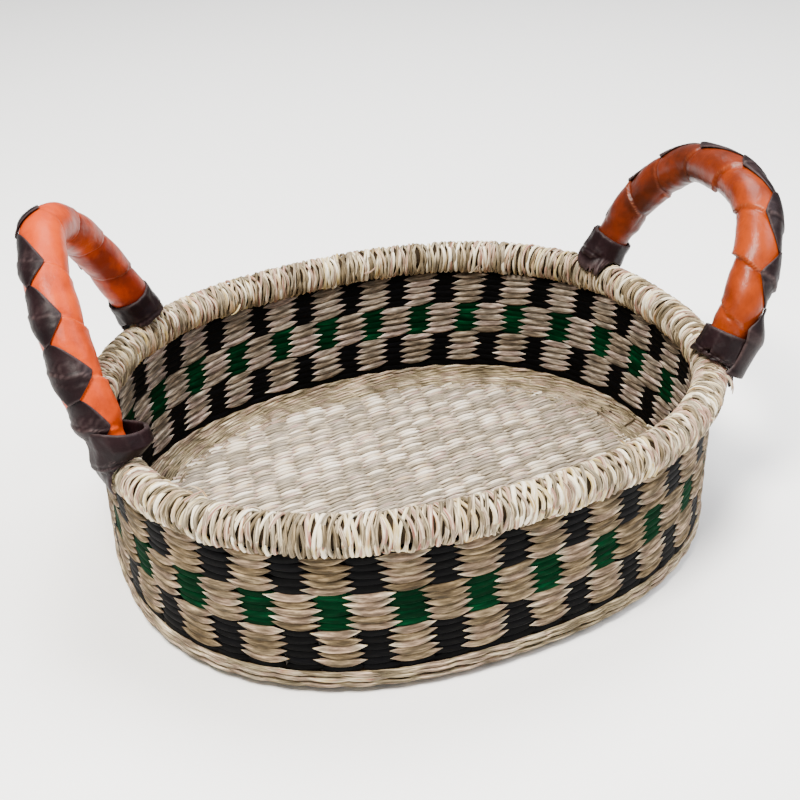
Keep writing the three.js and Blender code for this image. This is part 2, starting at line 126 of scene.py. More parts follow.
# Dried sedge: each float is a bundle of split stems, so its tone changes from float to float and fine
# lines run along it. The strand UV map holds millimetres along the strand and turns round it.
def makeGrass(name, tones, roughness=0.8, specular=0.1, streakMix=0.85, bump=0.8):
    surface = {"Roughness": roughness, "IOR": 1.45, "Specular IOR Level": specular}
    material, tree, shader = startMaterial(name, surface)
    tone = addNode(tree, "ShaderNodeAttribute", {"attribute_name": "tone"})
    base = addNode(tree, "ShaderNodeValToRGB", {}, {"Fac": tone.outputs["Fac"]})
    setRamp(base, tones)
    strand = addNode(tree, "ShaderNodeUVMap", {"uv_map": "strand"})
    # 0.07 per mm along and 7 round: stems about 1 mm wide and 15 mm long between changes
    stretch = addNode(tree, "ShaderNodeMapping", {}, {"Vector": strand, "Scale": (0.07, 7, 1)})
    stems = addNode(tree, "ShaderNodeTexNoise", {}, {"Vector": stretch, "Scale": 1.0, "Detail": 4.0,
                                                     "Roughness": 0.6})
    lines = addNode(tree, "ShaderNodeValToRGB", {}, {"Fac": stems})
    setRamp(lines, greyStreaks)
    mix = addNode(tree, "ShaderNodeMix", {"data_type": "RGBA", "blend_type": "OVERLAY"},
                  {0: streakMix, 6: base, 7: lines})
    tree.links.new(mix.outputs[2], shader.inputs["Base Color"])
    relief = addNode(tree, "ShaderNodeBump", {}, {"Strength": bump, "Distance": 0.0006, "Height": stems})
    tree.links.new(relief.outputs["Normal"], shader.inputs["Normal"])
    return material


naturalGrass = makeGrass("dried sedge, natural", [
    (0.0, "#463722"), (0.3, "#76664E"), (0.5, "#8A7A62"),
    (0.66, "#937E6C"), (0.82, "#ADA18C"), (1.0, "#DCD4C2")])
# A greyer copy of the natural sedge for the inside floats: painted shade, the grey of the shaded light inside
# the basket
innerGrassGreyedForShade = makeGrass("dried sedge, greyed as painted shade, inside", [
    (0.0, "#4A4036"), (0.3, "#7E7264"), (0.5, "#948A7E"),
    (0.66, "#A08E86"), (0.82, "#B8AEA4"), (1.0, "#E2DCD2")])
footGrass = makeGrass("dried sedge, foot", [
    (0.0, "#6A5A40"), (0.3, "#92846A"), (0.5, "#A69A80"),
    (0.66, "#B09A88"), (0.82, "#C0B8A0"), (1.0, "#E6E0D0")], streakMix=0.9)
floorGrass = makeGrass("dried sedge, pale floor", [
    (0.0, "#70624C"), (0.3, "#9A8D79"), (0.5, "#ADA290"), (0.7, "#C2B6A8"), (1.0, "#EEE8DE")],
    roughness=0.74, specular=0.2, streakMix=0.7, bump=0.5)
rimGrass = makeGrass("dried sedge, lashing", [
    (0.0, "#86765A"), (0.25, "#A99B80"), (0.5, "#BEB39C"),
    (0.7, "#C8BBA7"), (0.85, "#D9D1C0"), (1.0, "#EDE7DA")], roughness=0.7, specular=0.22, streakMix=0.9)
blackGrass = makeGrass("sedge dyed black", [
    (0.0, "#010101"), (0.5, "#020203"), (0.8, "#040407"), (1.0, "#07070D")],
    roughness=0.65, specular=0.05, streakMix=0.6, bump=0.6)
greenGrass = makeGrass("sedge dyed green", [
    (0.0, "#00180B"), (0.4, "#002511"), (0.75, "#003018"), (1.0, "#003424")],
    roughness=0.7, specular=0.02, streakMix=0.6, bump=0.6)
shadedGrass = makeGrass("sedge in the shade of the weave", [
    (0.0, "#1A130B"), (0.5, "#2C2216"), (1.0, "#5E5038")], roughness=0.85, streakMix=0.45, bump=0.35)


# Smooth cowhide, dyed through: soft colour clouds, fine pores and a satin finish
def makeLeather(name, tones, wear, roughness, wornShare, specular):
    surface = {"IOR": 1.5, "Specular IOR Level": specular, "Roughness": roughness}
    material, tree, shader = startMaterial(name, surface)
    where = addNode(tree, "ShaderNodeTexCoord").outputs["Object"]
    clouds = addNode(tree, "ShaderNodeTexNoise", {}, {"Vector": where, "Scale": 45.0, "Detail": 5.0,
                                                      "Roughness": 0.6})
    # the dye is stronger or weaker along the piece
    dye = addNode(tree, "ShaderNodeAttribute", {"attribute_name": "tone"})
    shift = addNode(tree, "ShaderNodeMath", {"operation": "MULTIPLY_ADD"},
                    {0: dye.outputs["Fac"], 1: 0.8, 2: -0.4})
    total = addNode(tree, "ShaderNodeMath", {"operation": "ADD"}, {0: clouds, 1: shift})
    colour = addNode(tree, "ShaderNodeValToRGB", {}, {"Fac": total})
    setRamp(colour, tones)
    worn = addNode(tree, "ShaderNodeAttribute", {"attribute_name": "wear"})
    scuffs = addNode(tree, "ShaderNodeTexNoise", {}, {"Vector": where, "Scale": 420.0, "Detail": 3.0})
    scuffed = addNode(tree, "ShaderNodeMath", {"operation": "MULTIPLY"}, {0: worn.outputs["Fac"], 1: scuffs})
    amount = addNode(tree, "ShaderNodeMath", {"operation": "MULTIPLY", "use_clamp": True},
                     {0: scuffed, 1: wornShare})
    mix = addNode(tree, "ShaderNodeMix", {"data_type": "RGBA"}, {0: amount, 6: colour, 7: linearColour(wear)})
    tree.links.new(mix.outputs[2], shader.inputs["Base Color"])
    # pores 0.9 mm apart, and creases 6 mm apart
    pores = addNode(tree, "ShaderNodeTexVoronoi", {"feature": "DISTANCE_TO_EDGE"},
                    {"Vector": where, "Scale": 1100.0})
    creases = addNode(tree, "ShaderNodeTexNoise", {}, {"Vector": where, "Scale": 160.0, "Detail": 6.0,
                                                       "Distortion": 0.6})
    fine = addNode(tree, "ShaderNodeBump", {}, {"Strength": 0.25, "Distance": 0.0002, "Height": pores})
    soft = addNode(tree, "ShaderNodeBump", {},
                   {"Strength": 0.35, "Distance": 0.0012, "Height": creases, "Normal": fine})
    tree.links.new(soft.outputs["Normal"], shader.inputs["Normal"])
    return material


orangeLeather = {
    "left": makeLeather("cowhide dyed orange", [(0.2, "#661902"), (0.5, "#AA3600"), (0.8, "#BE4502")],
                        wear="#F0A06A", roughness=0.4, wornShare=0.3, specular=0.16),
    "right": makeLeather("cowhide dyed rust orange", [(0.2, "#3C1203"), (0.5, "#642003"), (0.8, "#8A3205")],
                         wear="#E9966C", roughness=0.34, wornShare=0.4, specular=0.2),
}
brownLeather = makeLeather("cowhide dyed dark brown", [(0.3, "#0A0305"), (0.5, "#110608"), (0.7, "#190B0E")],
                           wear="#8A7472", roughness=0.46, wornShare=0.4, specular=0.12)
print("materials made")

# The oval and the lofts

oval = {"halfLength": 199.0, "halfWidth": 165.5, "power": 2.31, "columns": 58, "steps": 2880}


def measureOval(o):
    t = np.linspace(0, 2 * np.pi, o["steps"] + 1)
    c, s = np.cos(t), np.sin(t)
    x = o["halfLength"] * np.sign(c) * np.abs(c) ** (2 / o["power"])
    y = o["halfWidth"] * np.sign(s) * np.abs(s) ** (2 / o["power"])
    lengths = np.concatenate(([0], np.cumsum(np.hypot(np.diff(x), np.diff(y)))))
    nx = np.sign(x) * np.abs(x / o["halfLength"]) ** (o["power"] - 1) / o["halfLength"]
    ny = np.sign(y) * np.abs(y / o["halfWidth"]) ** (o["power"] - 1) / o["halfWidth"]
    size = np.hypot(nx, ny)
    return {"lengths": lengths, "x": x, "y": y, "nx": nx / size, "ny": ny / size}


table = measureOval(oval)
ovalLength = float(table["lengths"][-1])
columnPitch = ovalLength / oval["columns"]
rng = np.random.default_rng(7)


def ovalAt(s):
    s = np.mod(s, ovalLength)
    return [np.interp(s, table["lengths"], table[key]) for key in ("x", "y", "nx", "ny")]


# Angles round a strand, the last one the first again
def anglesRound(count):
    return (np.arange(count + 1) % count) / count * 2 * np.pi


# Millimetres along strands that go once round the oval
def alongOval(rings):
    return np.tile(np.linspace(0, ovalLength, rings.shape[1]), (len(rings), 1))


# One mesh of lofts: rings is (count, steps, around, 3) in mm, and each ring's last point is its first. There
# is one tone for each loft or for each of its steps.
def loftPiece(name, rings, along, tone, material, body, stands=()):
    count, steps, around = rings.shape[:3]
    columns = count * steps
    bm = bmesh.new()
    bm.loops.layers.uv.new("strand")
    bmesh.ops.create_grid(bm, x_segments=columns - 1, y_segments=around - 1, size=0.5, calc_uvs=True)
    mesh = bpy.data.meshes.new(name)
    bm.to_mesh(mesh)
    grid = rings.reshape(columns, around, 3).transpose(1, 0, 2) * mm
    mesh.vertices.foreach_set("co", grid.ravel())
    uv = np.empty(len(mesh.loops) * 2, dtype=np.float32)
    mesh.uv_layers["strand"].data.foreach_get("uv", uv)
    column = np.rint(uv[0::2] * (columns - 1)).astype(int)
    uv[0::2] = along.ravel()[column]
    mesh.uv_layers["strand"].data.foreach_set("uv", uv)
    layer = mesh.attributes.new("tone", "FLOAT", "POINT")
    tones = np.broadcast_to(tone.reshape(count, -1), (count, steps)).ravel()
    layer.data.foreach_set("value", np.tile(tones, around).astype(np.float32))
    bm.clear()
    bm.from_mesh(mesh)
    bm.faces.ensure_lookup_table()
    between = np.nonzero((column.reshape(-1, 4).min(axis=1) + 1) % steps == 0)[0]
    bmesh.ops.delete(bm, geom=[bm.faces[i] for i in between], context="FACES")
    bmesh.ops.remove_doubles(bm, verts=bm.verts[:], dist=1e-6)
    bmesh.ops.recalc_face_normals(bm, faces=bm.faces[:])
    bm.to_mesh(mesh)
    bm.free()
    return finishPiece(name, mesh, material, body, stands)


def finishPiece(name, mesh, material, body, stands=()):
    mesh.polygons.foreach_set("use_smooth", [True] * len(mesh.polygons))
    mesh.materials.clear()
    mesh.materials.append(material)
    piece = addObject(name, mesh)
    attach(piece, body)
    if stands:
        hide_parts(*stands)
    return piece


# A cheap repeatable wobble: a sum of sines of two variables
def wobble(u, v, seed, octaves=5):
    local = np.random.default_rng(seed)
    total = 0 * u * v
    for octave in range(octaves):
        ku, kv = local.uniform(0.5, 1.6, 2) * 1.7 ** octave
        pu, pv = local.uniform(0, 2 * np.pi, 2)
        total = total + np.sin(ku * u + pu + 1.3 * np.sin(kv * v + pv)) * 0.55 ** octave
    return total / 2


# A different number between 0 and 1 for each pair of whole numbers
def shuffled(u, v):
    return np.mod(np.sin(12.9898 * u + 78.233 * v) * 43758.5453, 1.0)


# Woven wall

# A row is given by its offset from the wall's centre line, its height, and how far below level its outer
# face looks, in degrees. A float's half length is a share of the column pitch.
weave = {
    "rowHeight": 5.25, "sides": 8, "steps": 15, "heart": (3.1, 1.75), "heartShadeTones": (0, 0.4),
    "outside": {"half": 0.72, "height": 3.2, "thick": 1.45, "blunt": (2.9, 1.5), "middle": 2.5, "tip": 3.3,
                "droop": 2.0, "tilt": 0.25, "sway": 0.9, "tipHighlight": 0.45, "lap": 0.55},
    "dyed": {"half": 0.62, "height": 3.4, "thick": 0.95, "blunt": (3.4, 0.6), "middle": 2.2, "tip": 1.8,
             "droop": 0.6, "tilt": 0.3, "sway": 0.9, "tipHighlight": 0.0, "lap": 0.25},
    "inside": {"half": 0.71, "height": 3.0, "thick": 1.45, "blunt": (2.8, 1.5), "middle": 2.5, "tip": 3.3,
               "droop": 0.6, "tilt": -1.3, "sway": 0.8, "tipHighlight": 0.4, "lap": 0.5},
    "spread": {"half": (0.9, 1.1), "place": (-1.1, 1.1), "tall": (0.92, 1.06), "thick": (0.9, 1.12),
               "depth": (-0.2, 0.2), "droop": (0.7, 1.25), "sway": (-1, 1), "high": (-0.2, 0.2),
               "tone": (0.2, 0.66)},
    "drift": (0.043, 0.303, -0.391, -0.073, 0.099),
    "lean": 0.185, "leanFrom": 88.9, "leanOver": 52.8, "leanWithin": (10, 110),
}


# The weaver's columns wander a little round the wall and lean as they go down
def columnPlace(index, height):
    u = 2 * np.pi * (index + 0.5) / oval["columns"]
    d = weave["drift"]
    wander = d[0] + d[1] * np.cos(u) + d[2] * np.sin(u) + d[3] * np.cos(2 * u) + d[4] * np.sin(2 * u)
    lean = weave["lean"] * (weave["leanFrom"] - np.clip(height, *weave["leanWithin"])) / weave["leanOver"]
    return (index + 0.5 + wander + lean) * columnPitch


# Lens-shaped floats at columns of one row, on the outside (side 1) or the inside (side -1) of the wall
def rowFloats(row, columns, side, look):
    def spread(key):
        return rng.uniform(*weave["spread"][key], (len(columns), 1))

    tau = np.linspace(-1, 1, weave["steps"])[None, :]
    half = look["half"] * columnPitch * spread("half")
    s = columnPlace(columns, row[1])[:, None] + spread("place") + half * tau
    p, q = look["blunt"]
    taper = np.clip(1 - np.abs(tau) ** p, 0, 1) ** q
    tall = look["height"] * taper * spread("tall")
    thick = look["thick"] * taper ** 0.7 * spread("thick")
    depth = look["middle"] + (look["tip"] - look["middle"]) * tau ** 2 + spread("depth")
    sag = look["droop"] * spread("droop") * (tau ** 2 - 0.35)
    sag = sag + (look["tilt"] + look["sway"] * spread("sway")) * tau
    sag = sag + spread("high")
    turn = anglesRound(weave["sides"])
    shingle = look["lap"] * taper[..., None] * np.sin(turn)
    deep = side * (depth[..., None] + thick[..., None] * np.cos(turn) - shingle)
    high = sag[..., None] + tall[..., None] * np.sin(turn)
    # the tips are painted lighter: a painted highlight where they lie on top and catch the light
    tone = spread("tone") + look["tipHighlight"] * np.abs(tau) ** 2.5
    return placeOnSheet(s, row, deep, high), half, tone


# Points at a depth through the sheet and a height along it, round the oval
def placeOnSheet(s, row, deep, high):
    offset, height, facing = row
    a = math.radians(facing)
    x, y, nx, ny = ovalAt(s)
    out = offset + deep * math.cos(a) + high * math.sin(a)
    rise = height - deep * math.sin(a) + high * math.cos(a)
    return np.stack([x[..., None] + nx[..., None] * out, y[..., None] + ny[..., None] * out,
                     rise + 0 * out], axis=-1)


# A plain strand that keeps to the middle of the sheet behind the floats
def rowHeart(row, height, thick, sides=6):
    s = np.linspace(0, ovalLength, 4 * oval["columns"] + 1)[None, :]
    turn = anglesRound(sides)
    ones = np.ones(s.shape + (1,))
    rings = placeOnSheet(s, row, ones * thick * np.cos(turn), ones * height * np.sin(turn))
    rings[:, -1] = rings[:, 0]
    return rings


# Millimetres along each float, from a start of its own, so that no two show the same streaks
def alongFloats(half, steps):
    start = rng.uniform(0, 900, half.shape)
    return start + (np.linspace(0, 1, steps)[None, :]) * 2 * half


# Parity says which columns are dyed on the outside. A band of one row is a line, dyed all the way.
bands = {
    "upperBand": {"bottom": 74.75, "rows": 5, "parity": 0, "dye": "black", "stands": ["upper_check_band"]},
    "middleBand": {"bottom": 48.5, "rows": 5, "parity": 1, "dye": "green", "stands": ["middle_check_band"]},
    "lowerBand": {"bottom": 22.25, "rows": 5, "parity": 0, "dye": "black", "stands": ["lower_check_band"]},
    "upperLine": {"bottom": 101.0, "rows": 1, "parity": 0, "dye": "black",
                  "stands": ["upper_line_outer", "upper_line_inner"]},
    "lowerLine": {"bottom": 17.0, "rows": 1, "parity": 0, "dye": "black",
                  "stands": ["lower_line_outer", "lower_line_inner"]},
}


def weavePieces(name, band):
    dyedMaterial = {"black": blackGrass, "green": greenGrass}[band["dye"]]
    rows = [(0.0, band["bottom"] + (i + 0.5) * weave["rowHeight"], 0.0) for i in range(band["rows"])]
    columns = np.arange(oval["columns"])
    found = {"outside": [], "inside": [], "dyed": []}
    for row in rows:
        for side, plain in ((1, "outside"), (-1, "inside")):
            isDyed = (columns % 2 == band["parity"]) == (side == 1)
            for kind, chosen in (("dyed", columns[isDyed]), (plain, columns[~isDyed])):
                kind = kind if len(rows) > 1 else "dyed"
                found[kind].append(rowFloats(row, chosen, side, weave[kind]))
    materials = {"outside": naturalGrass, "inside": innerGrassGreyedForShade, "dyed": dyedMaterial}
    for kind, floats in found.items():
        if not floats:
            continue
        rings, half, tone = (np.concatenate([part[i] for part in floats]) for i in range(3))
        loftPiece(f"{name}_{kind}", rings, alongFloats(half, weave["steps"]), tone, materials[kind], "basket",
                  band["stands"])
    # The hearts take the dark end of the dyed colours, as painted shade in the gaps between the floats.
    heart = np.concatenate([rowHeart(row, *weave["heart"]) for row in rows])
    loftPiece(f"{name}_heart", heart, alongOval(heart), rng.uniform(*weave["heartShadeTones"], len(rows)),
              dyedMaterial, "basket")


for name, band in bands.items():
    weavePieces(name, band)
print("wall woven")

# Rounded foot and floor

foot = {
    "outer": {"rows": 10, "pitch": 3.7, "bendRadius": 5.3, "bendTop": 10.2, "top": 17.4, "out": 0.5,
              "climb": -0.5, "hearts": 10},
    "inner": {"rows": 9, "pitch": 3.9, "bendRadius": 9.4, "bendTop": 14.6, "top": 17.4, "out": 0.0,
              "climb": -0.95, "hearts": 5},
    "depth": 2.45, "swing": 0.75, "tall": 1.7, "narrow": 0.85, "thick": 1.35, "perColumn": 5, "sides": 8,
    "litInFront": 0.14, "stray": 0.6, "spread": 0.5, "stagger": 0.2, "heart": (2.7, 1.6),
}


# Middle of a foot row at a distance down the wall, round the bend and in along the floor
def footPlace(distance, f):
    straight = f["top"] - f["bendTop"]
    bend = f["bendRadius"] * math.pi / 2
    if distance < straight:
        return (f["out"], f["top"] - distance, 0.0)
    if distance < straight + bend:
        a = (distance - straight) / f["bendRadius"]
        return (f["out"] + f["bendRadius"] * (math.cos(a) - 1), f["bendTop"] - f["bendRadius"] * math.sin(a),
                math.degrees(a))
    return (f["out"] - f["bendRadius"] - (distance - straight - bend), f["bendTop"] - f["bendRadius"], 90.0)


# How much a twined strand strays in height, depth and place, how often, and its seeds
straying = {"tall": (0.06, 1.3, 17.7, 5), "deep": (0.12, 1.7, 21.1, 6), "high": (1.0, 1.1, 13.3, 7)}


# The two strands of a row of twining take turns in front of the stakes, and climb as they come forward
def twine(column, strand, climb, f, seed):
    strayed = {key: size * wobble(column * often, seed * shift, start)
               for key, (size, often, shift, start) in straying.items()}
    wave = np.cos(np.pi * (column + strand))
    rise = np.sin(np.pi * (column + strand))
    tall = f["narrow"] + (f["tall"] - f["narrow"]) * (0.5 + 0.5 * wave)
    tall = tall * (1 + strayed["tall"])
    deep = f["depth"] + f["swing"] * wave + strayed["deep"]
    high = climb * rise + f["stray"] * strayed["high"]
    # The tone is painted lighter where a strand comes forward and darker where it goes behind: painted light
    # and shade. The rest is a random tone for each float.
    tone = 0.25 + f["litInFront"] * wave + f["spread"] * shuffled(np.floor((column + strand + 0.5) / 2), seed)
    return tall, deep, high, np.clip(tone, 0, 1)


def twinedRow(row, side, climb, f, seed):
    steps = oval["columns"] * f["perColumn"]
    column = np.arange(steps + 1) / f["perColumn"] + f["stagger"] * (seed % 3)
    s = columnPlace(column - 0.5, row[1])
    turn = anglesRound(f["sides"])
    rings, tones = [], []
    for strand in (0, 1):
        tall, deep, high, tone = twine(column, strand, climb, f, 2 * seed + strand)
        ring = placeOnSheet(s[None], row, side * (deep[None, :, None] + f["thick"] * np.cos(turn)),
                            high[None, :, None] + tall[None, :, None] * np.sin(turn))
        ring[:, -1] = ring[:, 0]
        rings.append(ring)
        tones.append(tone)
    return np.concatenate(rings), np.array(tones)


footStrands = []
footHearts = []
for face, side in (("outer", 1), ("inner", -1)):
    path = foot[face]
    for i in range(path["rows"]):
        row = footPlace((i + 0.5) * path["pitch"], path)
        footStrands.append(twinedRow(row, side, path["climb"], foot, 2 * i + (side > 0)))
        if i < path["hearts"]:
            footHearts.append(rowHeart(row, *foot["heart"]))
rings, tones = (np.concatenate([part[i] for part in footStrands]) for i in range(2))
loftPiece("footWeave", rings, alongOval(rings), tones, footGrass, "basket", ["foot_band"])
rings = np.concatenate(footHearts)
loftPiece("footHeart", rings, alongOval(rings), rng.uniform(0, 1, len(rings)), shadedGrass, "basket")

# The floor's rows are twined in the same way, on its upper and its lower face
floorWeave = {
    "upper": {"level": 6.9, "way": 1, "perColumn": 4},
    "lower": {"level": 3.4, "way": -1, "perColumn": 4},
    "rowPitch": 4.07, "columnPitch": 16.7, "shear": 0.22, "inset": 19.0, "sides": 6, "climb": 0.4,
    "depth": 0.8, "swing": 1.0, "tall": 1.75, "narrow": 0.5, "thick": 1.35, "litInFront": 0.12, "stray": 0.25,
    "spread": 0.6, "bend": 0.06, "bendLength": 31, "heart": {"inset": 14.0, "bottom": 0.9, "height": 6.5},
}


def floorRows(f, face):
    reachY = oval["halfWidth"] - f["inset"]
    reachX = oval["halfLength"] - f["inset"]
    count = int(2 * reachY / f["rowPitch"])
    steps = int(2 * reachX / f["columnPitch"] * face["perColumn"])
    turn = anglesRound(f["sides"])
    rings, reaches, tones = [], [], []
    for i in range(count):
        y = (i - (count - 1) / 2) * f["rowPitch"]
        reach = reachX * (1 - min(0.98, abs(y) / reachY) ** oval["power"]) ** (1 / oval["power"])
        x = np.linspace(-reach, reach, steps)
        column = (x - f["shear"] * y) / f["columnPitch"] + f["bend"] * np.sin(x / f["bendLength"] + i)
        for strand in (0, 1):
            tall, deep, high, tone = twine(column, strand, f["climb"], f, 2 * i + strand)
            px = np.repeat(x[:, None], f["sides"] + 1, axis=1)
            py = y + high[:, None] + tall[:, None] * np.sin(turn)
            pz = face["level"] + face["way"] * (deep[:, None] + f["thick"] * np.cos(turn))
            rings.append(np.stack([px, py, pz], axis=-1))
            reaches.append(reach)
            tones.append(tone)
    return np.array(rings), np.array(reaches), np.array(tones)


for name in ("upper", "lower"):
    rings, reaches, tones = floorRows(floorWeave, floorWeave[name])
    loftPiece(f"{name}FloorRows", rings, alongFloats(reaches[:, None], rings.shape[1]), tones, floorGrass,
              "basket", ["floor_weave"])


# The stakes' layer inside the floor, as one sheet between the two faces
# It has no tone, so it takes the natural sedge's darkest colour: painted shade in the gaps between the rows.
def makeFloorHeart(f):
    around = 2 * oval["columns"]
    bm = bmesh.new()
    bmesh.ops.create_circle(bm, cap_ends=True, radius=1.0, segments=around)
    x, y, nx, ny = ovalAt(np.arange(around) / around * ovalLength)
    for vertex, px, py, qx, qy in zip(bm.verts, x, y, nx, ny):
        vertex.co = Vector(((px - f["inset"] * qx) * mm, (py - f["inset"] * qy) * mm, f["bottom"] * mm))
    sheet = bmesh.ops.extrude_face_region(bm, geom=bm.faces[:])
    raised = [g for g in sheet["geom"] if isinstance(g, bmesh.types.BMVert)]
    bmesh.ops.translate(bm, verts=raised, vec=(0, 0, f["height"] * mm))
    bmesh.ops.recalc_face_normals(bm, faces=bm.faces[:])
    finishPiece("floorHeart", meshFrom(bm, "floorHeart"), naturalGrass, "basket")


makeFloorHeart(floorWeave["heart"])
print("foot and floor woven")

# Rim

# A stitch hangs off the roll where it reaches down, hangAt degrees below level. The spreads are how much the
# turns differ.
rim = {"height": 114.575, "radius": 11.0, "turns": 292, "steps": 20, "sides": 8, "wide": 1.22, "thick": 1.15,
       "slant": 2.6, "scatter": 1.05, "weave": 0.75, "hang": 2.8, "hangAt": 66.0, "hangFade": 24.0,
       "sunk": 0.1, "turnLength": 66.0, "bundle": 8.5, "bundleSides": 12,
       "spread": {"hang": 0.9, "phase": 0.5, "deep": 0.2, "wide": 0.16, "widest": 1.8}}


# One value per turn, carried smoothly from turn to turn
def perTurn(values, turn):
    return np.interp(turn, np.arange(len(values) + 1), np.append(values, values[0]))


# One ply of the lashing: it goes round the grass roll, over and under the other ply, and its stitches
# reach down over the top of the wall
def makePly(r, way):
    spread = r["spread"]
    turn = np.arange(r["turns"] * r["steps"] + 1) / r["steps"]
    angle = np.pi / 2 + 2 * np.pi * turn
    pitch = ovalLength / r["turns"]
    across, upward, deep, broad, drop, phase = rng.normal(0, 1, (6, r["turns"]))
    s = (turn + 0.25 * way) * pitch
    s = s + (way * r["slant"] + r["scatter"] * perTurn(across, turn)) * np.cos(angle)
    s = s + r["scatter"] * perTurn(upward, turn) * np.sin(angle)
    below = np.degrees(np.arctan2(-np.sin(angle), np.abs(np.cos(angle))))
    hang = r["hang"] + spread["hang"] * perTurn(drop, turn)
    hang = hang * np.exp(-((below - r["hangAt"]) / r["hangFade"]) ** 2)
    over = way * r["weave"] * np.sin(3 * angle + spread["phase"] * perTurn(phase, turn))
    reach = r["radius"] - r["thick"] - r["sunk"] + over + spread["deep"] * perTurn(deep, turn) + hang
    broader = np.clip(perTurn(broad, turn), -spread["widest"], spread["widest"])
    wide = r["wide"] * (1 + spread["wide"] * broader)
    around = anglesRound(r["sides"])
    out = reach[:, None] + r["thick"] * np.cos(around)
    side = wide[:, None] * np.sin(around)
    x, y, nx, ny = ovalAt(s[:, None] + side)
    px = x + nx * out * np.cos(angle)[:, None]
    py = y + ny * out * np.cos(angle)[:, None]
    pz = r["height"] + out * np.sin(angle)[:, None]
    rings = np.stack([px, py, pz], axis=-1)
    rings[-1] = rings[0]
    tones = rng.uniform(0, 1, r["turns"] + 1)[(turn + 0.25).astype(int) % (r["turns"] + 1)]
    return rings[None], (turn * r["turnLength"])[None], tones[None]


for name, way in (("rimLashing", 1), ("rimLashingCrossed", -1)):
    rings, along, tone = makePly(rim, way)
    loftPiece(name, rings, along, tone, rimGrass, "basket", ["rim_wrap"])

rings = rowHeart((0.0, rim["height"], 0.0), rim["bundle"], rim["bundle"], rim["bundleSides"])
loftPiece("rimBundle", rings, alongOval(rings), np.array([0.5]), shadedGrass, "basket",
          ["rim_core"])

# Loose ends of the lashing stand up here and there: where on the rim, the angle from its top towards the
# inside, and how far each runs along the rim and stands off it
strays = {
    "thick": 0.75, "thinner": 0.75, "steps": 9, "sides": 6, "above": 0.3, "lift": 2.2, "twist": 0.5,
    "half": 6.0,
    "ends": (
        (0.585, -20, 9, 6), (0.59, 40, -8, 5), (0.612, 60, 7, 3), (0.71, 100, 12, 2), (0.735, 70, 10, 1.5),
        (0.83, 120, 9, 3), (0.842, 80, -10, 2), (0.909, -70, -11, 4), (0.905, -55, -9, 3), (0.31, 110, 8, 3),
        (0.22, 105, -9, 3), (0.14, 112, 8, 3), (0.44, -60, 10, 3)),
}


def makeStray(place, turned, run, stand):
    share = np.linspace(0, 1, strays["steps"])
    s = place * ovalLength + run * share
    x, y, nx, ny = ovalAt(s)
    a = math.radians(turned) + strays["twist"] * share * np.sign(run)
    distance = rim["radius"] + strays["above"] + strays["lift"] * np.sin(np.pi * share) + stand * share ** 2
    middle = np.stack([x - nx * distance * np.sin(a), y - ny * distance * np.sin(a),
                       rim["height"] + distance * np.cos(a)], axis=-1)
    along = np.gradient(middle, axis=0)
    along /= np.linalg.norm(along, axis=1)[:, None]
    one = np.cross(along, (0.3, 0.2, 1.0))
    one /= np.linalg.norm(one, axis=1)[:, None]
    two = np.cross(along, one)
    turn = anglesRound(strays["sides"])
    size = strays["thick"] * (1 - strays["thinner"] * share ** 3)[:, None, None]
    return middle[:, None] + size * (np.cos(turn)[None, :, None] * one[:, None]
                                     + np.sin(turn)[None, :, None] * two[:, None])


rings = np.array([makeStray(*end) for end in strays["ends"]])
loftPiece("rimStrays", rings, alongFloats(np.full((len(rings), 1), strays["half"]), strays["steps"]),
          rng.uniform(0.3, 0.95, len(rings)), rimGrass, "basket", ["rim_wrap"])
print("rim lashed")

# Handles

# Places along a hoop are measured from its first foot, and angles from its outer edge towards the side that
# faces away from the basket. Tips are where the brown lace reaches furthest over the orange leather, and
# notches where orange reaches furthest over the lace. Force is how far each turn of the strip stands up at
# its edge. Dye is its strength at places along the hoop.
handles = {
    "right": {
        "end": 0.0, "shift": -10.7, "footSpread": 82.5, "height": 112.0, "power": 2.5, "lean": 28.0,
        "skew": 0.0, "shrink": 0.0, "flap": 8.5, "firstFoot": "front",
        "tips": ((21, -8), (54, -26), (89, -30), (126, -36), (166, -52), (200, -64), (228, -60), (258, -58)),
        "notches": ((35, 44), (67.5, 20), (102, 4), (138.5, 4), (178, 8), (211, 10), (240, 14), (272, 30)),
        "force": (0.3, 0.35, 1.7, 1.0, 0.9, 0.2, 0.15, 1.0, 0.3, 0.3),
        "dye": ((0, 0.62), (80, 0.75), (125, 0.55), (160, 0.3), (300, 0.22)),
    },
    "left": {
        "end": 0.5, "shift": -56.5, "footSpread": 91.5, "height": 120.0, "power": 1.8, "lean": 20.5,
        "skew": -8.0, "shrink": 1.5, "firstFoot": "rear",
        "tips": ((34, -10), (70, -10), (105, -12), (142, -16), (182, -26), (214, -32), (247, -54),
                 (278, -44)),
        "notches": ((46, 40), (82, 44), (118, 46), (154, 50), (193, 20), (227, 16), (259.5, -2), (286, 0)),
        "force": (0.3, 0.5, 0.45, 0.5, 0.35, 0.7, 0.9, 1.0, 1.1, 0.3),
        "dye": ((0, 0.2), (110, 0.25), (150, 0.5), (300, 0.55)),
    },
}

# Start is the height over the rim's middle where a hoop's leather begins. The strip keeps clear of its ends,
# where the turns grow quiet, and narrows before the last foot.
sleeve = {
    "start": 13.0, "clear": 3.0, "lastTip": 20.0, "steps": 300, "around": 60, "radius": 12.9,
    "footRadius": 12.0, "bulge": 1.0, "turn": 35.0, "spacing": 36.0, "waver": 0.03,
    "lap": 1.9, "fade": 11.0, "edge": 1.3, "tuck": 0.7, "tuckWidth": 2.2, "crease": 0.5, "creaseWidth": 0.8,
    "pucker": 0.35, "puckerFade": 7.0, "innerFolds": 0.7, "folds": 0.25, "footFolds": 0.3,
    "quiet": (12, 24), "narrows": 26, "narrow": 12, "folded": 16, "wear": 900.0,
}


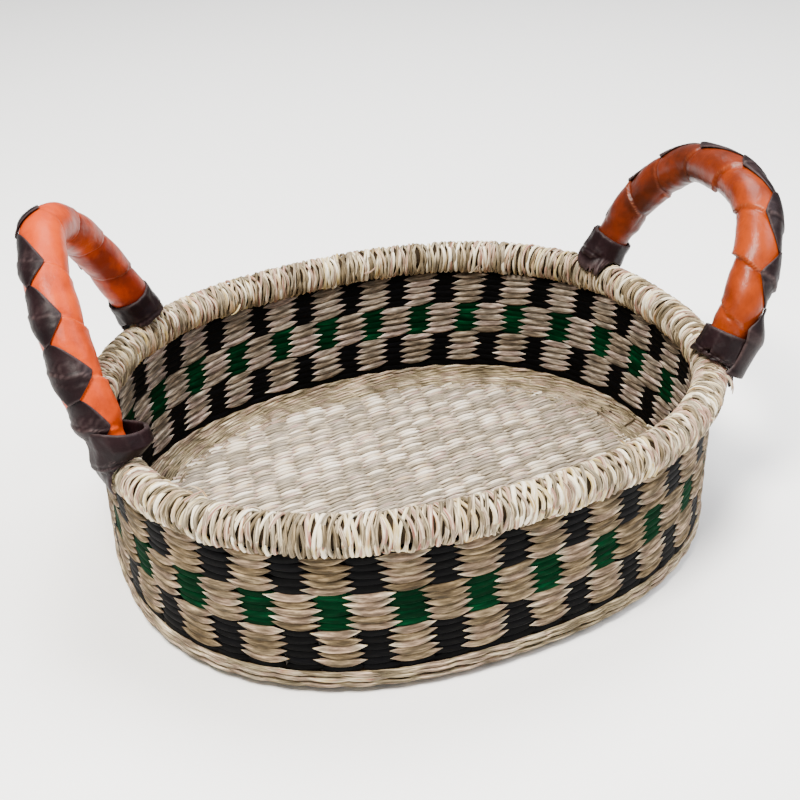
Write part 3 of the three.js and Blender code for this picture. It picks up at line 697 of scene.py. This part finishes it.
# Points along a handle's hoop with the directions away from its middle and away from the basket
def hoopLine(h, steps, fineSteps=3000):
    middle = h["end"] * ovalLength + h["shift"]
    ends = [np.array(ovalAt(np.array([middle + k * h["footSpread"]])))[:2, 0] for k in (-1, 1)]
    chord = ends[1] - ends[0]
    along = np.append(chord / np.linalg.norm(chord), 0.0)
    outward = np.array([along[1], -along[0], 0.0])
    centre = np.append((ends[0] + ends[1]) / 2, rim["height"])
    t = np.linspace(0, np.pi, fineSteps)
    c = np.cos(t)
    rise = h["height"] * np.abs(np.sin(t)) ** (2 / h["power"])
    across = h["skew"] * rise / h["height"]
    across = across - np.linalg.norm(chord) / 2 * np.sign(c) * np.abs(c) ** (2 / h["power"])
    keep = rise >= sleeve["start"]
    rise, across = rise[keep], across[keep]
    length = np.concatenate(([0], np.cumsum(np.hypot(np.diff(rise), np.diff(across)))))
    a = np.linspace(0, length[-1], steps)
    rise, across = np.interp(a, length, rise), np.interp(a, length, across)
    lean = math.radians(h["lean"])
    upright = outward * math.sin(lean) + np.array([0, 0, math.cos(lean)])
    points = centre + across[:, None] * along + rise[:, None] * upright
    run = np.gradient(points, axis=0)
    run /= np.linalg.norm(run, axis=1)[:, None]
    away = outward * math.cos(lean) - np.array([0, 0, math.sin(lean)])
    outer = np.cross(run, np.tile(away, (steps, 1)))
    outer /= np.linalg.norm(outer, axis=1)[:, None]
    if (outer[steps // 2] @ upright) < 0:
        outer = -outer
    return {"points": points, "run": run, "outer": outer, "away": np.tile(away, (steps, 1)), "a": a}


def smoothStep(x, low, high):
    t = np.clip((x - low) / (high - low), 0, 1)
    return t * t * (3 - 2 * t)


# The strip is wound as a helix: each turn starts with a raised edge and thins out under the next
def sleeveRadius(a, angle, h, s):
    places = np.array([tip[0] for tip in h["tips"]], dtype=float)
    places = np.concatenate(([places[0] - s["spacing"]], places,
                             [places[-1] + s["spacing"], places[-1] + 2 * s["spacing"]]))
    turn = np.interp(a, places, np.arange(len(places)))
    turn = turn + (np.mod(angle + np.pi, 2 * np.pi) - np.pi + 0.5) / (2 * np.pi)
    turn = turn + s["waver"] * wobble(3 * angle, a / 25, 21, 3)
    index = np.floor(turn)
    x = (turn - index) * s["turn"]
    rest = s["turn"] - x
    raised = s["lap"] * np.interp(index, np.arange(len(h["force"])), h["force"])
    radius = s["radius"] + raised * np.exp(-x / s["fade"]) * smoothStep(x, 0, s["edge"])
    radius = radius - s["tuck"] * np.exp(-(rest / s["tuckWidth"]) ** 2)
    radius = radius - s["crease"] * np.exp(-(x / s["creaseWidth"]) ** 2)
    radius = radius + s["bulge"] * np.sin(np.pi * np.clip(x / s["turn"], 0, 1)) ** 2
    pucker = np.exp(-x / s["puckerFade"]) * smoothStep(x, 0.5, 3) + 0.6 * np.exp(-rest / s["puckerFade"])
    radius = radius + s["pucker"] * pucker * wobble(angle * 3, a / 9, 31, 3)
    inside = (0.5 - 0.5 * np.cos(angle)) ** 2
    radius = radius + s["innerFolds"] * inside * wobble(a * 0.13, angle * 1.2, 11, 3)
    radius = radius + s["folds"] * wobble(a * 0.07, angle * 2.0, 12, 3)
    end = h["tips"][-1][0] + s["lastTip"]
    quiet = smoothStep(np.minimum(a, end - a), *s["quiet"])
    foot = s["footRadius"] - h["shrink"] * smoothStep(a, end - s["narrows"], end - s["narrow"])
    folded = s["footFolds"] * h["shrink"] * smoothStep(a, end - s["narrows"], end - s["folded"])
    foot = foot + folded * wobble(angle * 2.2, a / 5, 41, 3)
    return foot + (radius - foot) * quiet


def makeSleeve(name, h, leather, body, stands):
    line = hoopLine(h, sleeve["steps"])
    angle = anglesRound(sleeve["around"])
    a = line["a"][:, None]
    radius = sleeveRadius(a, angle[None, :], h, sleeve)
    rings = (line["points"][:, None] + radius[..., None] *
             (np.cos(angle)[None, :, None] * line["outer"][:, None] +
              np.sin(angle)[None, :, None] * line["away"][:, None]))
    kept = (line["a"] > sleeve["clear"]) & (line["a"] < line["a"][-1] - sleeve["clear"])
    rings, a = rings[kept], line["a"][kept]
    rings[0] = rings[0].mean(axis=0)
    rings[-1] = rings[-1].mean(axis=0)
    dye = np.interp(a, *np.transpose(h["dye"]))
    piece = loftPiece(name, rings[None], a[None], dye, leather, body, stands)
    wearOn(piece, sleeve["wear"])


# Wear shows where the leather stands proud of its surroundings
def wearOn(piece, gain, least=0.06):
    mesh = piece.data
    bm = bmesh.new()
    bm.from_mesh(mesh)
    bm.normal_update()
    values = np.zeros(len(bm.verts), dtype=np.float32)
    for vertex in bm.verts:
        near = [edge.other_vert(vertex).co for edge in vertex.link_edges]
        centre = sum(near, Vector()) / max(1, len(near))
        values[vertex.index] = min(1.0, max(0.0, (vertex.co - centre).dot(vertex.normal) * gain - least))
    bm.free()
    layer = mesh.attributes.new("wear", "FLOAT", "POINT")
    layer.data.foreach_set("value", values)
    if "tone" not in mesh.attributes:
        mesh.attributes.new("tone", "FLOAT", "POINT").data.foreach_set("value", np.full(len(values), 0.5))


# A leaf's near edge has the handle's tips and notches, and its far edge faces away from the basket. The knots
# share out its length: its start, where it leaves its tuck, the peaks of the far and near edges, and its end.
# The bows bend the edges between. The right handle's lowest leaf is a flap that stands off the leather.
lace = {
    "tuck": 7.0, "first": 30.0, "flapStart": -9.0, "farTip": 9.0, "farAngle": 116.0, "farNotch": 27.0,
    "narrowest": 8, "thick": 0.9, "lift": 1.0, "least": 0.3, "ripple": 0.15, "edge": 0.35, "flapEnd": 34,
    "flapOver": 20, "knots": (0.0, 0.2, 0.48, 0.6, 1.0),
    "bow": {"rising": 0.72, "falling": 1.3, "opening": 0.8, "closing": 0.62},
    "steps": 600, "long": 30, "across": 16, "span": np.linspace(-6, 6, 7), "wear": 1500.0,
}


# The lace's leaves: each comes out from under the one before, widens to a tip on either edge and narrows to
# the notches, where it lies over the next
def makeLeaves(name, h, body, stands):
    line = hoopLine(h, lace["steps"])
    end = line["a"][-1]
    bm = bmesh.new()
    bow = lace["bow"]
    first, leave, farPeak, nearPeak, close = lace["knots"]
    notches = ((h["tips"][0][0] - lace["first"], h["notches"][0][1]),) + h["notches"]
    for i, (tip, tipAngle) in enumerate(h["tips"]):
        isFlap = i == 0 and "flap" in h
        start = lace["flapStart"] if isFlap else max(notches[i][0] - lace["tuck"], 1.0)
        opens = max(notches[i][0], start + 1)
        last = min(notches[i + 1][0], end - 2)
        farTip = max(tip - lace["farTip"], opens + 1)
        grid = bmesh.ops.create_grid(bm, x_segments=lace["long"], y_segments=lace["across"], size=0.5)
        seed = rng.uniform(0, 6, 3)
        for vertex in grid["verts"]:
            share, side = vertex.co.x + 0.5, vertex.co.y + 0.5
            # a row of the grid stands on each tip
            nearA = float(np.interp(share, (first, leave, nearPeak, close), (start, opens, tip, last)))
            farA = float(np.interp(share, (first, leave, farPeak, close), (start, opens, farTip, last + 1)))
            rising = float(np.interp(share, (leave, nearPeak), (0, 1))) ** bow["rising"]
            falling = max(share - nearPeak, 0) / (close - nearPeak)
            near = notches[i][1] + (tipAngle - notches[i][1]) * rising
            near += (notches[i + 1][1] - tipAngle) * falling ** bow["falling"]
            opening = float(np.interp(share, (leave, farPeak), (0, 1))) ** bow["opening"]
            closing = max(share - farPeak, 0) / (close - farPeak)
            parted = opening - closing ** bow["closing"]
            far = lace["farNotch"] + (lace["farAngle"] - lace["farNotch"]) * parted
            if isFlap and share < farPeak:
                near = max(near, tipAngle) * rising + tipAngle * (1 - rising)
                far = lace["farAngle"]
            a = nearA + (farA - nearA) * side
            angle = math.radians(near + (max(far, near + lace["narrowest"]) - near) * side)
            k = min(max(a / end * (lace["steps"] - 1), 0), lace["steps"] - 1.1)
            low = int(k)
            point = line["points"][low] * (1 - k + low) + line["points"][low + 1] * (k - low)
            below = sleeveRadius(a + lace["span"], np.full(len(lace["span"]), angle), h, sleeve)
            under = max(float(below.mean()), float(below[len(below) // 2]) - 0.2)
            edge = min(side, 1 - side)
            swell = 0.85 + lace["ripple"] * math.sin(seed[0] + 5 * side)
            lift = lace["least"] + lace["lift"] * smoothStep(share, 0.25, 0.7) * swell
            ripple = lace["ripple"] * math.sin(seed[1] + 7 * share + 3 * side)
            lift += ripple - lace["edge"] * math.exp(-edge * 9)
            if isFlap:
                standing = h["flap"] * float(smoothStep(lace["flapEnd"] - a, 0, lace["flapOver"]))
                lift += standing * (0.5 + 0.5 * math.sin(math.pi * side))
            radius = under + max(lift, lace["least"])
            point = point + line["run"][0] * min(a, 0)
            vertex.co = Vector((point + radius * (math.cos(angle) * line["outer"][low]
                                                  + math.sin(angle) * line["away"][low])) * mm)
    bmesh.ops.recalc_face_normals(bm, faces=bm.faces[:])
    bmesh.ops.solidify(bm, geom=bm.faces[:], thickness=-lace["thick"] * mm)
    bmesh.ops.recalc_face_normals(bm, faces=bm.faces[:])
    piece = finishPiece(name, meshFrom(bm, name), brownLeather, body, stands)
    wearOn(piece, lace["wear"])


# Each cuff's lip is opened by a flare towards one side, pushed over by a shift and lowered on that side, and
# sunk all round. Its saddle is wrapped further round the rim's inner side. The left handle's front cuff
# stands open like a cup, and leans in over the rim. A crease has a height, a swing up and down round the
# cuff, where that starts, and a width.
cuff = {
    "voxel": 1.1, "smooth": 5, "smoothing": 0.5, "steps": 200, "folds": 0.45, "swell": 0.2,
    "crease": 0.55, "creases": ((1.5, 2.6, 0, 1.1), (-9.0, 3.0, 2, 1.2)),
    "opens": (-4, 12), "sinks": (-8, 10), "saddle": 19, "saddleTop": 4, "onRim": 13.6, "wear": 2500.0,
    "left_cuff_front": {"flare": 2.6, "towards": -90.0, "shift": 5.5, "lower": 15.0, "sink": 0.0,
                        "taper": 0.0, "wrap": 1.0},
    "left_cuff_rear": {"flare": 0.6, "towards": 120.0, "shift": 0.0, "lower": 0.0, "sink": 0.0, "taper": 1.2,
                       "wrap": 1.1},
    "right_cuff_front": {"flare": 0.5, "towards": 60.0, "shift": 0.0, "lower": 0.0, "sink": 6.5, "taper": 0.6,
                         "wrap": 1.5},
    "right_cuff_rear": {"flare": 0.0, "towards": 0.0, "shift": 0.0, "lower": 0.0, "sink": 1.5, "taper": 0.8,
                        "wrap": 2.8},
}


# The rim's frame at a point: its nearest middle, the way out from the basket there, the distance from the
# rim's middle line and the angle from its top towards the inside
def rimFrame(p):
    nearest = int(np.argmin((table["x"] - p[0]) ** 2 + (table["y"] - p[1]) ** 2))
    n = np.array([table["nx"][nearest], table["ny"][nearest]])
    middle = np.array([table["x"][nearest], table["y"][nearest]])
    out = float((np.array(p[:2]) - middle) @ n)
    rise = p[2] - rim["height"]
    return middle, n, math.hypot(out, rise), math.atan2(-out, rise)


# A cuff is the CAD cuff, melted into one soft wrap, opened at its lip and creased where its strip laps
def makeCuff(name, node, h, isLast, body, seed):
    bm = bmesh.new()
    bm.from_mesh(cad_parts[node].data)
    bmesh.ops.remove_doubles(bm, verts=bm.verts[:], dist=1e-6)
    block = addObject(name + "Block", meshFrom(bm, name))
    remesh = block.modifiers.new("melt", "REMESH")
    remesh.mode = "VOXEL"
    remesh.voxel_size = cuff["voxel"] * mm
    smooth = block.modifiers.new("soften", "SMOOTH")
    smooth.factor, smooth.iterations = cuff["smoothing"], cuff["smooth"]
    depsgraph = bpy.context.evaluated_depsgraph_get()
    soft = bpy.data.meshes.new_from_object(block.evaluated_get(depsgraph))
    bpy.data.objects.remove(block)
    line = hoopLine(h, cuff["steps"])
    end = -1 if isLast else 0
    foot, up = line["points"][end], line["run"][end] * (-1 if isLast else 1)
    outer, away = line["outer"][end], line["away"][end]
    lip = cuff[node]
    heading = math.radians(lip["towards"])
    push = outer * math.cos(heading) + away * math.sin(heading)
    bm = bmesh.new()
    bm.from_mesh(soft)
    bm.normal_update()
    for vertex in bm.verts:
        p = vertex.co / mm
        offset = np.array(p) - foot
        rise = float(offset @ up)
        angle = math.atan2(float(offset @ away), float(offset @ outer))
        sideways = offset - rise * up
        sideways = sideways / max(1e-6, float(np.linalg.norm(sideways)))
        fold = wobble(p.x * 0.14 + p.z * 0.1, p.y * 0.14 - p.z * 0.08, seed)
        lap = 0.0
        for height, swing, start, width in cuff["creases"]:
            lap += math.exp(-((rise - height - swing * math.sin(angle + start + seed)) / width) ** 2)
        vertex.co += vertex.normal * ((cuff["folds"] * fold + cuff["swell"] - cuff["crease"] * lap) * mm)
        open = float(smoothStep(rise, *cuff["opens"]))
        opened = lip["flare"] * (0.55 + 0.45 * math.cos(angle - heading)) * open
        opened += lip["taper"] * (0.8 * float(smoothStep(-rise, 0, 12)) - float(smoothStep(rise, 2, 13)))
        drawn = lip["lower"] * (0.5 + 0.5 * math.cos(angle - heading)) * min(max((rise + 10) / 23, 0), 1)
        drawn += lip["sink"] * float(smoothStep(rise, *cuff["sinks"]))
        vertex.co += Vector(sideways * opened + push * (lip["shift"] * open) - up * drawn) * mm
        # the saddle
        middle, n, distance, turned = rimFrame(np.array(vertex.co) / mm)
        if distance < cuff["saddle"] and rise < cuff["saddleTop"]:
            if turned > 0:
                turned *= 1 + (lip["wrap"] - 1) * float(smoothStep(cuff["saddle"] - distance, 0, 4))
            distance = max(distance, cuff["onRim"])
            flat = middle - n * distance * math.sin(turned)
            vertex.co = Vector((flat[0], flat[1], rim["height"] + distance * math.cos(turned))) * mm
    bm.to_mesh(soft)
    bm.free()
    piece = finishPiece(name, soft, brownLeather, body, [node])
    wearOn(piece, cuff["wear"])


for seed, (side, h) in enumerate(handles.items()):
    body = f"{side}_handle"
    makeSleeve(f"{side}Sleeve", h, orangeLeather[side], body, [f"{side}_handle_sleeve"])
    makeLeaves(f"{side}Lace", h, body, [f"{side}_handle_lace"])
    for place in ("front", "rear"):
        makeCuff(f"{side}Cuff{place.capitalize()}", f"{side}_cuff_{place}", h, place != h["firstFoot"], body,
                 60 + seed)
print("handles covered")

# CAD nodes that stay


# Bundled stems inside the weave and the handles, hidden but for glimpses between the floats. They are painted
# near black, as painted shade; the real stems are natural sedge.
def makeStem(name):
    material, tree, shader = startMaterial(name, {"Roughness": 0.8, "IOR": 1.45})
    where = addNode(tree, "ShaderNodeTexCoord").outputs["Object"]
    stretch = addNode(tree, "ShaderNodeMapping", {}, {"Vector": where, "Scale": (900, 900, 60)})
    stems = addNode(tree, "ShaderNodeTexNoise", {}, {"Vector": stretch, "Scale": 1.0, "Detail": 3.0})
    colour = addNode(tree, "ShaderNodeValToRGB", {}, {"Fac": stems})
    setRamp(colour, [(0.3, "#0C0805"), (0.5, "#171009"), (0.7, "#241A10")])
    tree.links.new(colour.outputs["Color"], shader.inputs["Base Color"])
    return material


stemsDarkenedForShade = makeStem("bundled stems, painted dark as shade")
for name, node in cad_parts.items():
    if name.startswith("stake_") or name.endswith("_core"):
        node.data.materials.clear()
        node.data.materials.append(stemsDarkenedForShade)

# Floor and light


# In metres. The stage lies just under the foot.
stageSettings = {"size": 4.0, "height": -0.0003, "roughness": 0.9, "specular": 0.2, "colour": "#FCFCFB"}


def makeStage(s):
    bm = bmesh.new()
    bmesh.ops.create_grid(bm, x_segments=1, y_segments=1, size=s["size"])
    stage = addObject("stage", meshFrom(bm, "stage"))
    surface = {"Roughness": s["roughness"], "Specular IOR Level": s["specular"],
               "Base Color": linearColour(s["colour"])}
    stage.data.materials.append(startMaterial("pale floor", surface)[0])
    stage.location.z = s["height"]


# In metres and watts
lights = {
    "key": {"place": (-0.65, -0.5, 1.75), "size": 0.6, "power": 100.0, "colour": "#FFFAF2"},
    "fill": {"place": (1.2, -0.7, 1.5), "size": 1.2, "power": 36.0, "colour": "#F6F8FF"},
    "top": {"place": (0.3, 0.6, 1.95), "size": 1.2, "power": 62.0, "colour": "#FFFFFF"},
}

sky = {"colour": "#FFFFFF", "strength": 0.42, "aim": (0, 0, 0.08)}


def makeLights(settings):
    for name, s in settings.items():
        data = bpy.data.lights.new(name, "AREA")
        data.shape = "DISK"
        data.size = s["size"]
        data.energy = s["power"]
        data.color = linearColour(s["colour"])[:3]
        lamp = addObject(name, data)
        lamp.location = s["place"]
        aim = Vector(sky["aim"]) - Vector(s["place"])
        lamp.rotation_euler = aim.to_track_quat("-Z", "Y").to_euler()
    world = bpy.data.worlds.new("studio")
    world.use_nodes = True
    background = world.node_tree.nodes["Background"]
    background.inputs["Color"].default_value = linearColour(sky["colour"])
    background.inputs["Strength"].default_value = sky["strength"]
    bpy.context.scene.world = world


makeStage(stageSettings)
makeLights(lights)
print("stage and lights set")
